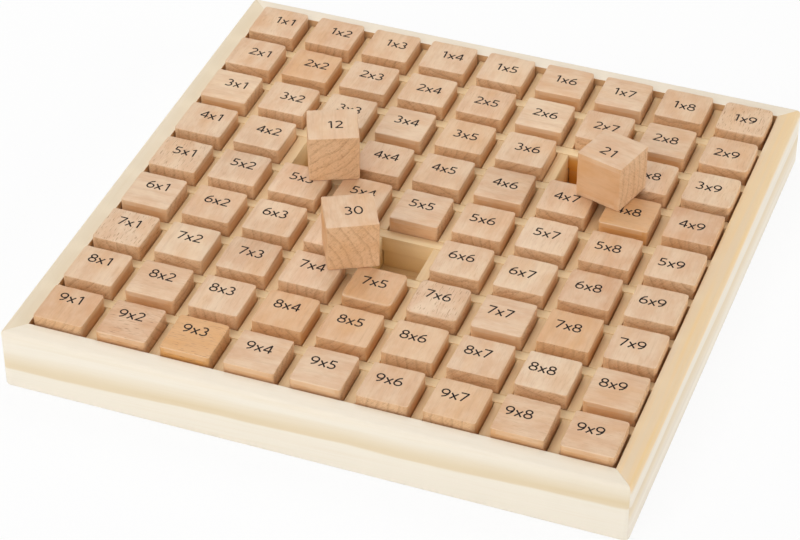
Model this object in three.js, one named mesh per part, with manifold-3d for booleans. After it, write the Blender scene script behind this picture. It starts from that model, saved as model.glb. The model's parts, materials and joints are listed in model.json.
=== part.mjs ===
// A multiplication board: a shallow mitred tray, a half-lapped grid of dividers on its base,
// one cube for each task of the table, and three cubes taken out and stood on their neighbours.
// Millimetres, +Z up. The origin is the centre of the tray on the surface that it stands on.
// Row 1 is at the back (+Y), row 9 at the front, column 1 at the left (-X).

import * as THREE from 'three';
import { ConvexGeometry } from 'three/addons/geometries/ConvexGeometry.js';
import { mergeVertices } from 'three/addons/utils/BufferGeometryUtils.js';
import Module from 'manifold-3d';

const wasm = await Module();
wasm.setup();

// Driving dimensions

const SIDE_COUNT = 9;

const CUBE_SIDE = 22.6;
const CUBE_CHAMFER = 0.8;
const CUBE_PROUD = 7;

const POCKET_CLEARANCE = 0.8;
const DIVIDER_THICKNESS = 5;
const LAP_CLEARANCE = 0.3;

const RAIL_THICKNESS = 9;
const RAIL_RISE = 3;
const RAIL_FOOT = 6.4;
const RAIL_EDGE_RADIUS = 2;
const RAIL_CORNER_RADIUS = 2.2;
const RAIL_CLEARANCE = 0.7;
const MITRE_GAP = 0.3;

const BASE_THICKNESS = 4;
const GROOVE_DEPTH = 4;
const GROOVE_CLEARANCE = 0.3;

const LINK_WIDTH = 3;
const LINK_HEIGHT = 2;
const LINK_CLEARANCE = 0.4;

// Dimensions worked out from the driving ones

const pocketSide = CUBE_SIDE + POCKET_CLEARANCE;
const pitch = pocketSide + DIVIDER_THICKNESS;
const floorZ = RAIL_FOOT + BASE_THICKNESS;
const cubeTopZ = floorZ + CUBE_SIDE;
const dividerHeight = CUBE_SIDE - CUBE_PROUD;
const dividerTopZ = floorZ + dividerHeight;
const railHeight = dividerTopZ + RAIL_RISE;
const innerHalf = (SIDE_COUNT * pitch - DIVIDER_THICKNESS) / 2 + RAIL_CLEARANCE;
const outerHalf = innerHalf + RAIL_THICKNESS;
const middle = (SIDE_COUNT + 1) / 2;

// A cube sits a little off the middle of its pocket and a little askew, always clear of the dividers.
const SEAT_SHIFT_SHARE = 0.15;
const SEAT_TURN_SHARE = 0.1;
const seatShift = POCKET_CLEARANCE * SEAT_SHIFT_SHARE;
const seatTurn = (POCKET_CLEARANCE * SEAT_TURN_SHARE) / (CUBE_SIDE / 2);

// Cubes stood on their neighbours: the task whose pocket is empty, the place of the cube's middle
// in pockets from the middle of the board, and its turn seen from above.
const STANDING_CUBES = [
  { answer: 12, row: 4, column: 3, right: -1.65, back: 0.535, turn: 24 },
  { answer: 30, row: 6, column: 5, right: -0.605, back: -1.42, turn: 28 },
  { answer: 21, row: 3, column: 7, right: 2.57, back: 1.405, turn: -16 },
];

// Cubes that share a solid: neighbours joined by slim links above the dividers, in the order of the links.
const CARRIERS = [
  [[5, 3], [5, 4], [4, 4]],
  [[6, 4], [7, 4], [7, 5]],
  [[3, 8], [4, 8], [4, 7]],
];
const FULL_ROWS = [1, 2, 8, 9];
const PART_ROWS = [
  { row: 7, first: 1, last: 3 },
  { row: 7, first: 6, last: 9 },
];

// Finishes

const RAIL_FINISH = { color: '#e9dfc8', roughness: 0.6 };
const DIVIDER_FINISH = { color: '#d6c598', roughness: 0.65 };
const BASE_FINISH = { color: '#c9a877', roughness: 0.7 };
const CUBE_FINISH = { color: '#e0bf9b', roughness: 0.5 };

const board = new THREE.Group();
board.name = 'multiplication_board';

function addPart(name, geometry, finish) {
  const material = new THREE.MeshStandardMaterial({ ...finish, metalness: 0 });
  const part = new THREE.Mesh(geometry, material);
  part.name = name;
  board.add(part);
  return part;
}

// Solids for joining and cutting

function solidOf(geometry) {
  const bare = geometry.clone();
  bare.deleteAttribute('normal');
  bare.deleteAttribute('uv');
  const merged = mergeVertices(bare);
  const mesh = new wasm.Mesh({
    numProp: 3,
    vertProperties: new Float32Array(merged.attributes.position.array),
    triVerts: new Uint32Array(merged.index.array),
  });
  return new wasm.Manifold(mesh);
}

function geometryOf(solid) {
  const mesh = solid.getMesh();
  const geometry = new THREE.BufferGeometry();
  geometry.setAttribute('position', new THREE.BufferAttribute(mesh.vertProperties, 3));
  geometry.setIndex(new THREE.BufferAttribute(mesh.triVerts, 1));
  geometry.computeVertexNormals();
  return geometry;
}

// Turns an extrusion so that its drawing's right, its drawing's up and its depth follow three directions.
function laidAlong(geometry, right, up) {
  const depth = new THREE.Vector3().crossVectors(right, up);
  return geometry.applyMatrix4(new THREE.Matrix4().makeBasis(right, up, depth));
}

const ALONG_X = new THREE.Vector3(1, 0, 0);
const ALONG_Y = new THREE.Vector3(0, 1, 0);
const ALONG_Z = new THREE.Vector3(0, 0, 1);
const TO_FRONT = new THREE.Vector3(0, -1, 0);

// Rails

// The rail's section: x runs out from the inner face, y up from the foot. The groove takes the base.
function railSection() {
  const edge = RAIL_EDGE_RADIUS;
  const grooveEnd = GROOVE_DEPTH + GROOVE_CLEARANCE;
  const grooveTop = floorZ + GROOVE_CLEARANCE;
  const section = new THREE.Shape();
  section.moveTo(0, 0);
  section.lineTo(RAIL_THICKNESS - edge, 0);
  section.absarc(RAIL_THICKNESS - edge, edge, edge, -Math.PI / 2, 0, false);
  section.absarc(RAIL_THICKNESS - edge, railHeight - edge, edge, 0, Math.PI / 2, false);
  section.absarc(edge / 2, railHeight - edge / 2, edge / 2, Math.PI / 2, Math.PI, false);
  section.lineTo(0, grooveTop);
  section.lineTo(grooveEnd, grooveTop);
  section.lineTo(grooveEnd, RAIL_FOOT);
  section.lineTo(0, RAIL_FOOT);
  return section;
}

// The front rail seen from above: mitred ends, and half of each rounded corner of the tray.
function railPlan() {
  const corner = outerHalf - RAIL_CORNER_RADIUS;
  const halfGap = MITRE_GAP / 2;
  const quarter = Math.PI / 4;
  const plan = new THREE.Shape();
  plan.moveTo(-innerHalf + halfGap, -innerHalf);
  plan.lineTo(-corner - RAIL_CORNER_RADIUS * Math.cos(quarter) + halfGap,
    -corner - RAIL_CORNER_RADIUS * Math.sin(quarter));
  plan.absarc(-corner + halfGap, -corner, RAIL_CORNER_RADIUS, 5 * quarter, 6 * quarter, false);
  plan.absarc(corner - halfGap, -corner, RAIL_CORNER_RADIUS, 6 * quarter, 7 * quarter, false);
  plan.lineTo(innerHalf - halfGap, -innerHalf);
  return plan;
}

function railGeometry() {
  const margin = RAIL_THICKNESS;
  const bar = new THREE.ExtrudeGeometry(railSection(), {
    depth: 2 * outerHalf, bevelEnabled: false, curveSegments: 4,
  });
  laidAlong(bar, TO_FRONT, ALONG_Z).translate(outerHalf, -innerHalf, 0);
  const mitre = new THREE.ExtrudeGeometry(railPlan(), {
    depth: railHeight + 2 * margin, bevelEnabled: false, curveSegments: 4,
  });
  mitre.translate(0, 0, -margin);
  return geometryOf(solidOf(bar).intersect(solidOf(mitre)));
}

function addRails() {
  ['front', 'right', 'back', 'left'].forEach((side, turns) => {
    const rail = addPart(`${side}_rail`, railGeometry(), RAIL_FINISH);
    rail.rotation.z = (turns * Math.PI) / 2;
  });
}

// Base

function addBase() {
  const baseSide = 2 * (innerHalf + GROOVE_DEPTH);
  const base = addPart('base_panel', new THREE.BoxGeometry(baseSide, baseSide, BASE_THICKNESS), BASE_FINISH);
  base.position.z = floorZ - BASE_THICKNESS / 2;
}

// Dividers

// Places of the dividers across the board, from the first to the last.
function dividerPlaces() {
  return Array.from({ length: SIDE_COUNT - 1 }, (_, index) => (index + 1.5 - middle) * pitch);
}

// A strip standing on the base, with one lap notch for each strip that it crosses.
function dividerShape(notchedAtTop) {
  const end = innerHalf - LAP_CLEARANCE;
  const notchHalf = DIVIDER_THICKNESS / 2 + LAP_CLEARANCE;
  const notchDepth = dividerHeight / 2 + LAP_CLEARANCE / 2;
  const notchZ = notchedAtTop ? dividerTopZ - notchDepth : floorZ + notchDepth;
  const plainZ = notchedAtTop ? floorZ : dividerTopZ;
  const edgeZ = notchedAtTop ? dividerTopZ : floorZ;
  const strip = new THREE.Shape();
  strip.moveTo(-end, edgeZ);
  for (const place of dividerPlaces()) {
    strip.lineTo(place - notchHalf, edgeZ);
    strip.lineTo(place - notchHalf, notchZ);
    strip.lineTo(place + notchHalf, notchZ);
    strip.lineTo(place + notchHalf, edgeZ);
  }
  strip.lineTo(end, edgeZ);
  strip.lineTo(end, plainZ);
  strip.lineTo(-end, plainZ);
  return strip;
}

function dividerGeometry(notchedAtTop, along) {
  const strip = new THREE.ExtrudeGeometry(dividerShape(notchedAtTop), {
    depth: DIVIDER_THICKNESS, bevelEnabled: false,
  });
  strip.translate(0, 0, -DIVIDER_THICKNESS / 2);
  return laidAlong(strip, along, ALONG_Z);
}

function addDividers() {
  dividerPlaces().forEach((place, index) => {
    const long = addPart(`long_divider_${index + 1}`, dividerGeometry(true, ALONG_Y), DIVIDER_FINISH);
    long.position.x = place;
    const cross = addPart(`cross_divider_${index + 1}`, dividerGeometry(false, ALONG_X), DIVIDER_FINISH);
    cross.position.y = -place;
  });
}

// Cubes

function cubeGeometry() {
  const outer = CUBE_SIDE / 2;
  const inner = outer - CUBE_CHAMFER;
  const points = [];
  for (const x of [-1, 1]) {
    for (const y of [-1, 1]) {
      for (const z of [-1, 1]) {
        points.push(new THREE.Vector3(x * outer, y * inner, z * inner));
        points.push(new THREE.Vector3(x * inner, y * outer, z * inner));
        points.push(new THREE.Vector3(x * inner, y * inner, z * outer));
      }
    }
  }
  return new ConvexGeometry(points);
}

// The middle of a pocket on the board.
function pocketPlace(row, column) {
  return new THREE.Vector3((column - middle) * pitch, (middle - row) * pitch, floorZ + CUBE_SIDE / 2);
}

// The small shift and turn with which a cube lies in its pocket, different for each pocket.
function seatOf(row, column) {
  const place = pocketPlace(row, column);
  place.x += seatShift * Math.sin(4.1 * row + 7.7 * column);
  place.y += seatShift * Math.cos(5.3 * row - 3.1 * column);
  return { place, turn: seatTurn * Math.sin(12.9 * row + 8.3 * column) };
}

function taskName(row, column) {
  return `${row}x${column}`;
}

function seatedCube(row, column) {
  const { place, turn } = seatOf(row, column);
  return cubeGeometry().rotateZ(turn).translate(place.x, place.y, place.z);
}

// A slim bar from the middle of one cube to the middle of the next, just above the divider between them.
function linkBetween([row, column], [nextRow, nextColumn]) {
  const start = pocketPlace(row, column);
  const end = pocketPlace(nextRow, nextColumn);
  const along = row === nextRow;
  const size = along ? [pitch, LINK_WIDTH] : [LINK_WIDTH, pitch];
  const bar = new THREE.BoxGeometry(...size, LINK_HEIGHT);
  const height = dividerTopZ + LINK_CLEARANCE + LINK_HEIGHT / 2;
  return bar.translate((start.x + end.x) / 2, (start.y + end.y) / 2, height);
}

function joinedCubes(seats) {
  let solid = solidOf(seatedCube(...seats[0]));
  for (let index = 1; index < seats.length; index += 1) {
    solid = solid.add(solidOf(seatedCube(...seats[index])));
    solid = solid.add(solidOf(linkBetween(seats[index - 1], seats[index])));
  }
  return geometryOf(solid);
}

function addJoinedCubes(name, seats, taken) {
  addPart(name, joinedCubes(seats), CUBE_FINISH);
  for (const seat of seats) {
    taken.add(taskName(...seat));
  }
}

function seatsInRow(row, first, last) {
  return Array.from({ length: last - first + 1 }, (_, index) => [row, first + index]);
}

function addSeatedCubes() {
  const taken = new Set(STANDING_CUBES.map(({ row, column }) => taskName(row, column)));
  for (const row of FULL_ROWS) {
    addJoinedCubes(`cubes_row_${row}`, seatsInRow(row, 1, SIDE_COUNT), taken);
  }
  for (const { row, first, last } of PART_ROWS) {
    const name = `cubes_${taskName(row, first)}_to_${taskName(row, last)}`;
    addJoinedCubes(name, seatsInRow(row, first, last), taken);
  }
  for (const seats of CARRIERS) {
    const name = `cubes_${seats.map((seat) => taskName(...seat)).join('_')}`;
    addJoinedCubes(name, seats, taken);
  }
  for (let row = 1; row <= SIDE_COUNT; row += 1) {
    for (let column = 1; column <= SIDE_COUNT; column += 1) {
      if (!taken.has(taskName(row, column))) {
        const { place, turn } = seatOf(row, column);
        const cube = addPart(`cube_${taskName(row, column)}`, cubeGeometry(), CUBE_FINISH);
        cube.position.copy(place);
        cube.rotation.z = turn;
      }
    }
  }
}

function addStandingCubes() {
  for (const { answer, right, back, turn } of STANDING_CUBES) {
    const cube = addPart(`answer_cube_${answer}`, cubeGeometry(), CUBE_FINISH);
    cube.position.set(right * pitch, back * pitch, cubeTopZ + CUBE_SIDE / 2);
    cube.rotation.z = THREE.MathUtils.degToRad(turn);
  }
}

addRails();
addBase();
addDividers();
addSeatedCubes();
addStandingCubes();

export default board;
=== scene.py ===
"""Looks of a wooden multiplication board: a mitred pine tray, a half-lapped grid and printed beech cubes.

Every length is in metres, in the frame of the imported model: +Z up, row 1 at the back, column 1 at the left.
"""

import json
import math
import random

import bmesh
import bpy
from mathutils import Matrix, Vector

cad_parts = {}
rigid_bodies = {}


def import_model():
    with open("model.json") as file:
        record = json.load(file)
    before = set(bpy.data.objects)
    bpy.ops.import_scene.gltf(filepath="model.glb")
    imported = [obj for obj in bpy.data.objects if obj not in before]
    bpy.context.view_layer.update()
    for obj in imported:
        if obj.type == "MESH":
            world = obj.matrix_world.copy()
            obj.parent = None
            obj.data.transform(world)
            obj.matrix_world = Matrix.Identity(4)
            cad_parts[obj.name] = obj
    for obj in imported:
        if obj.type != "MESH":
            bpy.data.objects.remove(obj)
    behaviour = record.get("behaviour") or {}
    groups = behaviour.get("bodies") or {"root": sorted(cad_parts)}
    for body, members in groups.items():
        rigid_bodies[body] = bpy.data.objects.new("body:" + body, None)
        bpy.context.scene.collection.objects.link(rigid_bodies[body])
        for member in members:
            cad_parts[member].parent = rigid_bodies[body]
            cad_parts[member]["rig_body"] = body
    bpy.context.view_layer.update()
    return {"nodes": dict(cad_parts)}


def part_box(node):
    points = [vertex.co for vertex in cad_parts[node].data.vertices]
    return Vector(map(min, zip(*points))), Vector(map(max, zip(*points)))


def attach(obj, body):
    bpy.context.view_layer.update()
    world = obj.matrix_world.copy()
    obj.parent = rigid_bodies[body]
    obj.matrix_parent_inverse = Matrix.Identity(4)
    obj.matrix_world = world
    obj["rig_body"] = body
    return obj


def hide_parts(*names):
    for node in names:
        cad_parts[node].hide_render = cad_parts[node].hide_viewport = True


bl_info = {
    "name": "Multiplication board",
    "version": (1, 0, 0),
    "blender": (4, 5, 0),
    "location": "3D View > Sidebar > Board",
    "description": "Models a wooden multiplication board, its finishes and its studio",
    "category": "Object",
}

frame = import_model()

SIDE_COUNT = 9
MIDDLE_COUNT = 5
MILLIMETRE = 0.001
SAME_PLACE = 1e-5
MERGED = SAME_PLACE / 10
SMOOTH_ANGLE = math.radians(38)
QUARTER_TURN = math.pi / 2

X_AXIS, Y_AXIS, Z_AXIS = range(3)
ALONG_X = Vector((1, 0, 0))
ALONG_Y = Vector((0, 1, 0))


def from_hex(code):
    """A screen colour as the linear numbers that shaders use, by the sRGB curve."""
    parts = [int(code[start:start + 2], 16) / 255 for start in (1, 3, 5)]
    return tuple(part / 12.92 if part <= 0.04045 else ((part + 0.055) / 1.055) ** 2.4 for part in parts)


def length_setting(name, description, millimetres):
    """A length that a user may change."""
    return bpy.props.FloatProperty(
        name=name,
        description=description,
        default=millimetres * MILLIMETRE,
        min=0.0,
        precision=5,
        subtype="DISTANCE",
        unit="LENGTH",
    )


def colour_setting(name, description, code):
    """A colour that a user may change."""
    return bpy.props.FloatVectorProperty(
        name=name,
        description=description,
        default=from_hex(code),
        min=0.0,
        max=1.0,
        size=3,
        subtype="COLOR",
    )


# Sizes and colours that a user may change

class TraySizes(bpy.types.PropertyGroup):
    """Sizes of the tray's edges."""

    corner_radius: length_setting("Corner radius", "Rounding of the tray's upright corners", 2.2)
    outer_edge: length_setting("Outer edge", "Rounding of the rails' outer edges, top and bottom", 1.9)
    inner_edge: length_setting("Inner edge", "Rounding of the rails' inner top edge", 0.8)
    mitre_seam: length_setting("Mitre seam", "Gap between two rails at a mitre", 0.06)
    groove_depth: length_setting("Groove depth", "Depth of the groove that takes the base", 4.3)
    groove_room: length_setting("Groove room", "Room above the base in its groove", 0.3)
    base_edge: length_setting("Base edge", "Softened edge of the base board", 0.4)
    divider_edge: length_setting("Divider edge", "Softened edge of a divider", 0.35)
    lap_room: length_setting("Lap room", "Room on each side of a lap", 0.3)


class CubeSizes(bpy.types.PropertyGroup):
    """Sizes of the cubes and of what is printed on them."""

    skin: length_setting("Skin", "Room for the ink between a cube's faces and its solid", 0.05)
    crisp_edge: length_setting("Crisp edge", "Rounding of the cubes that were sanded least", 0.4)
    usual_edge: length_setting("Usual edge", "Rounding of most cubes", 0.65)
    soft_edge: length_setting("Soft edge", "Rounding of the cubes that were sanded most", 1.1)
    corner_share: bpy.props.FloatProperty(
        name="Corner share",
        description="Rounding of a cube's upright corners, in roundings of its rims",
        default=2.2,
        min=1.0,
    )
    uneven: length_setting("Uneven", "How far sanding by hand may eat into an edge", 0.45)
    digit_height: length_setting("Digit height", "Height of the printed numbers", 5.4)
    pen_width: length_setting("Pen width", "Width of a printed stroke", 0.74)
    ink_rise: length_setting("Ink rise", "How far the ink stands on the wood", 0.03)


class BoardColours(bpy.types.PropertyGroup):
    """Colours of the woods and the ink, and of a painted shade and a painted light on the pine."""

    rail_pale: colour_setting("Rail, pale", "Early wood of the pine rails", "#f1e8d8")
    rail_band: colour_setting("Rail, band", "Late wood of the pine rails", "#e0caa2")
    rail_yellow: colour_setting("Rail, yellow", "Resinous tone of the pine rails", "#eec98e")
    rail_grey: colour_setting("Rail, grey", "Greyish streaks of the pine rails", "#ded2c6")
    # Painted shade: the rails' faces that look into the tray are mixed towards this warm brown, standing in
    # for the shade and warm bounce light inside the tray.
    rail_inside: colour_setting("Rail, inside", "Rougher inner faces of the pine rails", "#d2a66c")
    divider_pale: colour_setting("Divider, pale", "Early wood of the dividers", "#eed3a6")
    divider_band: colour_setting("Divider, band", "Late wood of the dividers", "#c6955c")
    divider_yellow: colour_setting("Divider, yellow", "Resinous tone of the dividers", "#d98d10")
    # Painted light: the dividers' upright faces are mixed towards this pale colour, standing in for light
    # that reaches into the pockets.
    divider_fresh: colour_setting("Divider, fresh", "Planed sides of the dividers", "#fae3b4")
    base_face: colour_setting("Base, face", "Face veneer of the base board", "#f2d6a8")
    base_band: colour_setting("Base, band", "Grain of the base board's veneer", "#d9ad78")
    cube_pale: colour_setting("Cube, pale", "Palest beech", "#ecd3b4")
    cube_deep: colour_setting("Cube, deep", "Deepest pinkish beech", "#cf9c72")
    cube_amber: colour_setting("Cube, amber", "Steamed amber beech", "#d99e5a")
    cube_ring: colour_setting("Cube, ring", "Growth rings and flecks of the beech", "#9d6a42")
    cube_end: colour_setting("Cube, end", "End grain of the beech", "#deb485")
    ink: colour_setting("Ink", "Printed numbers where the ink is full", "#1a1210")
    ink_thin: colour_setting("Ink, thin", "Printed numbers where the ink is thin", "#46342a")


SETTINGS = {
    "board_tray": TraySizes,
    "board_cubes": CubeSizes,
    "board_colours": BoardColours,
}


def tray_sizes():
    return bpy.context.scene.board_tray


def cube_sizes():
    return bpy.context.scene.board_cubes


def colours():
    return bpy.context.scene.board_colours


# Shader nodes

# A Mix node has sockets for every kind of value, so those for colours go by number.
MIX_SHARE = 0
MIX_FIRST = 6
MIX_SECOND = 7
MIX_RESULT = 2


class Socket:
    """An output socket of some nodes. A sum written on it adds a Math node to them."""

    def __init__(self, nodes, output):
        self.nodes = nodes
        self.output = output

    def __add__(self, other):
        return self.nodes.sum("ADD", self, other)

    def __radd__(self, other):
        return self.nodes.sum("ADD", other, self)

    def __sub__(self, other):
        return self.nodes.sum("SUBTRACT", self, other)

    def __rsub__(self, other):
        return self.nodes.sum("SUBTRACT", other, self)

    def __mul__(self, other):
        return self.nodes.sum("MULTIPLY", self, other)

    def __rmul__(self, other):
        return self.nodes.sum("MULTIPLY", other, self)

    def __truediv__(self, other):
        return self.nodes.sum("DIVIDE", self, other)

    def __rtruediv__(self, other):
        return self.nodes.sum("DIVIDE", other, self)


class Nodes:
    """The nodes of a material or of the sky."""

    def __init__(self, tree):
        self.tree = tree

    def feed(self, target, value):
        """Links a socket to another, or sets its value."""
        if isinstance(value, Socket):
            self.tree.links.new(value.output, target)
        else:
            target.default_value = value

    def node(self, kind, settings=None, sockets=None, output=0):
        """Adds a node, sets it, then feeds its sockets, and gives one of its outputs if it has any."""
        made = self.tree.nodes.new(kind)
        for name, value in (settings or {}).items():
            setattr(made, name, value)
        for key, value in (sockets or {}).items():
            self.feed(made.inputs[key], value)
        return Socket(self, made.outputs[output]) if len(made.outputs) else None

    def sum(self, operation, *values):
        return self.node("ShaderNodeMath", {"operation": operation}, dict(enumerate(values)))


class Finish(Nodes):
    """A material and the nodes that give it its look."""

    def __init__(self, name):
        self.material = bpy.data.materials.new(name)
        self.material.use_nodes = True
        super().__init__(self.material.node_tree)
        self.shader = self.tree.nodes["Principled BSDF"]

    def mix(self, share, first, second):
        """A colour between two colours."""
        sockets = {MIX_SHARE: share, MIX_FIRST: opaque(first), MIX_SECOND: opaque(second)}
        return self.node("ShaderNodeMix", {"data_type": "RGBA"}, sockets, MIX_RESULT)

    def attribute(self, name, output="Fac"):
        return self.node("ShaderNodeAttribute", {"attribute_name": name}, output=output)

    def object_place(self):
        return self.node("ShaderNodeTexCoord", output="Object")

    def parts(self, vector):
        """The three numbers of a vector."""
        made = self.node("ShaderNodeSeparateXYZ", None, {0: vector}).output.node
        return [Socket(self, output) for output in made.outputs]

    def noise(self, vector, scale, detail, roughness):
        """Noise, by its waves to the metre along each part of a vector."""
        stretched = self.node("ShaderNodeVectorMath", {"operation": "MULTIPLY"}, {0: vector, 1: scale})
        sockets = {"Vector": stretched, "Scale": 1.0, "Detail": detail, "Roughness": roughness}
        return self.node("ShaderNodeTexNoise", None, sockets)

    def grain(self, place, along, across, detail, roughness):
        """Noise in a timber, by its waves to the metre along the fibres and across them."""
        return self.noise(place, (along, across, across), detail, roughness)

    def ramp(self, value, low, high, start=0.0, end=1.0):
        """A smooth step from start to end as a value goes from low to high."""
        settings = {"interpolation_type": "SMOOTHSTEP"}
        sockets = {"Value": value, "From Min": low, "From Max": high, "To Min": start, "To Max": end}
        return self.node("ShaderNodeMapRange", settings, sockets)

    def ring(self, across, rise, width, drift):
        """How far each point lies through its growth ring, from 0 to 1."""
        radius = self.sum("SQRT", across * across + rise * rise)
        return self.sum("FRACT", radius / width + drift)

    def bump(self, height, strength):
        sockets = {"Strength": strength, "Distance": BUMP_DEPTH, "Height": height}
        self.feed(self.shader.inputs["Normal"], self.node("ShaderNodeBump", None, sockets))

    def surface(self, colour, roughness):
        self.feed(self.shader.inputs["Base Color"], colour)
        self.feed(self.shader.inputs["Roughness"], roughness)


def opaque(colour):
    return colour if isinstance(colour, Socket) else (*colour, 1.0)


# Finishes

BUMP_DEPTH = 0.2 * MILLIMETRE

# A grain is its waves to the metre along the fibres and across them, its detail and its roughness.
# Levels say where on a grain a mark begins and is full, and two more numbers what it gives there.
# A share says how far a mark changes the colour, and a rise or drop how far it moves the surface.
PINE_DRIFT = (5.0, 22.0, 2.0, 0.5)
PINE_WAVE = (24.0, 130.0, 3.0, 0.5)
PINE_FIBRE = (30.0, 1500.0, 3.0, 0.6)
PINE_STREAK = (9.0, 300.0, 2.0, 0.5)
PINE_PATCH = (8.0, 55.0, 2.0, 0.5)
PINE_RING_DRIFT = 0.4
PINE_RING_WAVE = 0.1
LATE_WOOD_LEVELS = (0.52, 0.93)
LATE_WOOD_END_LEVELS = (0.95, 1.0)
HEART_WANDER = 6 * MILLIMETRE
HEART_PATCH_LEVELS = (0.2, 0.6, 0.7, 1.0)
PINE_STREAK_LEVELS = (0.5, 0.8)
PINE_STREAK_SHARE = 0.16
PINE_FIBRE_LEVELS = (0.45, 0.75)
PINE_FIBRE_SHARE = 0.1
GREY_LEVELS = (0.3, 0.7)
# Painted shade on the faces that look into the tray.
INNER_SHADE_SHARE = 0.8
PINE_ROUGHNESS_LEVELS = (0.2, 0.8, 0.52, 0.64)
PINE_FIBRE_RISE = 0.6
PINE_LATE_RISE = 0.4
PINE_BUMP = 0.25


def pine_finish(name, tones, ring_width, band_share, heart_levels, painted_light_share=0.0):
    """Planed pine: broad soft growth rings with a hard late edge, fine fibres and resinous patches.

    The tones are those of early, late and resinous wood. The heart levels are the heights at which
    the resinous wood begins and is full. The painted light share is how far upright faces are painted
    paler, as painted light. Faces that look into the tray are painted a warmer, darker brown as painted
    shade."""
    pale, band, yellow = tones
    finish = Finish(name)
    place = finish.attribute("wood", "Vector")
    across, rise = finish.parts(place)[1:]
    depth, warmth, blush = finish.parts(finish.attribute("tint", "Vector"))
    drift = finish.grain(place, *PINE_DRIFT) * PINE_RING_DRIFT
    wave = finish.grain(place, *PINE_WAVE) * PINE_RING_WAVE
    ring = finish.ring(across, rise, ring_width, drift + wave)
    late = finish.ramp(ring, *LATE_WOOD_LEVELS) * (1 - finish.ramp(ring, *LATE_WOOD_END_LEVELS))
    fibre = finish.grain(place, *PINE_FIBRE)
    streak = finish.grain(place, *PINE_STREAK)
    patch = finish.grain(place, *PINE_PATCH)
    height = finish.parts(finish.object_place())[Z_AXIS]
    heart = finish.ramp(height + patch * HEART_WANDER, *heart_levels)
    body = finish.mix(heart * warmth * finish.ramp(patch, *HEART_PATCH_LEVELS), pale, yellow)
    streaks = finish.ramp(streak, *PINE_STREAK_LEVELS) * PINE_STREAK_SHARE
    body = finish.mix(late * band_share + streaks, body, band)
    body = finish.mix(finish.ramp(fibre, *PINE_FIBRE_LEVELS) * PINE_FIBRE_SHARE + depth, body, band)
    body = finish.mix(blush * finish.ramp(streak, *GREY_LEVELS), body, colours().rail_grey)
    # Painted shade: faces that look into the tray are mixed towards a warmer, darker brown.
    body = finish.mix(finish.attribute("inside") * INNER_SHADE_SHARE, body, colours().rail_inside)
    # Painted light: upright faces are mixed towards a paler colour.
    if painted_light_share:
        painted_light = finish.attribute("upright") * (1 - warmth) * painted_light_share
        body = finish.mix(painted_light, body, colours().divider_fresh)
    finish.surface(body, finish.ramp(fibre, *PINE_ROUGHNESS_LEVELS))
    finish.bump(fibre * PINE_FIBRE_RISE + late * PINE_LATE_RISE, PINE_BUMP)
    return finish.material


PLY_FIGURE = (6.0, 60.0, 3.0, 0.6)
PLY_FIBRE = (40.0, 1400.0, 3.0, 0.6)
PLY_BAND_COUNT = 6.0
PLY_BAND_LEVELS = (0.2, 0.95)
PLY_BAND_SHARE = 0.45
PLY_FIBRE_LEVELS = (0.5, 0.8)
PLY_FIBRE_SHARE = 0.35
PLY_ROUGHNESS_LEVELS = (0.2, 0.8, 0.6, 0.72)
PLY_BUMP = 0.2


def board_finish(name, face, band):
    """Thin ply: a rotary veneer with long wandering figure."""
    finish = Finish(name)
    place = finish.attribute("wood", "Vector")
    bands = finish.sum("FRACT", finish.grain(place, *PLY_FIGURE) * PLY_BAND_COUNT)
    fibre = finish.grain(place, *PLY_FIBRE)
    body = finish.mix(finish.ramp(bands, *PLY_BAND_LEVELS) * PLY_BAND_SHARE, face, band)
    body = finish.mix(finish.ramp(fibre, *PLY_FIBRE_LEVELS) * PLY_FIBRE_SHARE, body, band)
    finish.surface(body, finish.ramp(fibre, *PLY_ROUGHNESS_LEVELS))
    finish.bump(fibre, PLY_BUMP)
    return finish.material


BEECH_DRIFT = (18.0, 90.0, 2.0, 0.5)
BEECH_CLOUD = (70.0, 130.0, 3.0, 0.6)
BEECH_BLUSH = (45.0, 90.0, 2.0, 0.5)
BEECH_STREAK = (60.0, 420.0, 3.0, 0.65)
BEECH_FIBRE = (90.0, 2600.0, 3.0, 0.6)
BEECH_DASH = (260.0, 2600.0, 1.0, 0.4)
BEECH_PORE = (1100.0, 1100.0, 2.0, 0.6)
# Saw marks run slantwise over the end grain.
SAW_MARKS = ((1.0, 1700.0, 120.0), 2.0, 0.5)
SAW_LEVELS = (0.48, 0.7)
SAW_SHARE = 0.22
BEECH_RING_WIDTH = 4.2 * MILLIMETRE
BEECH_RING_DRIFT = 1.2
RING_LEVELS = (0.6, 0.97)
RING_END_LEVELS = (0.97, 1.0)
RING_SHARE = 0.05
RING_END_GRAIN_SHARE = 0.22
FLECK_LEVELS = (0.6, 0.72)
FLECK_SHARE = 0.75
PORE_LEVELS = (0.52, 0.7)
PORE_SHARE = 0.3
CLOUD_LEVELS = (0.3, 0.7, -0.2, 0.2)
BLUSH_LEVELS = (0.45, 0.75)
BLUSH_SHARE = 0.2
# Painted light on the cubes' upright long-grain faces.
PAINTED_SIDE_GLOW_SHARE = 0.35
END_SHARE = 0.5
BEECH_STREAK_LEVELS = (0.5, 0.75)
BEECH_STREAK_SHARE = 0.13
BEECH_FIBRE_LEVELS = (0.5, 0.8)
BEECH_FIBRE_SHARE = 0.14
# Rubbed wear and a painted highlight on the rounded rims.
RIM_WEAR_AND_HIGHLIGHT_SHARE = 2.2
RUBBED_GLOSS = 0.6
BEECH_ROUGHNESS_LEVELS = (0.2, 0.8, 0.38, 0.54)
BEECH_FIBRE_RISE = 0.5
FLECK_DROP = 0.5
RING_DROP = 0.2
PORE_DROP = 0.5
BEECH_BUMP = 0.3


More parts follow.
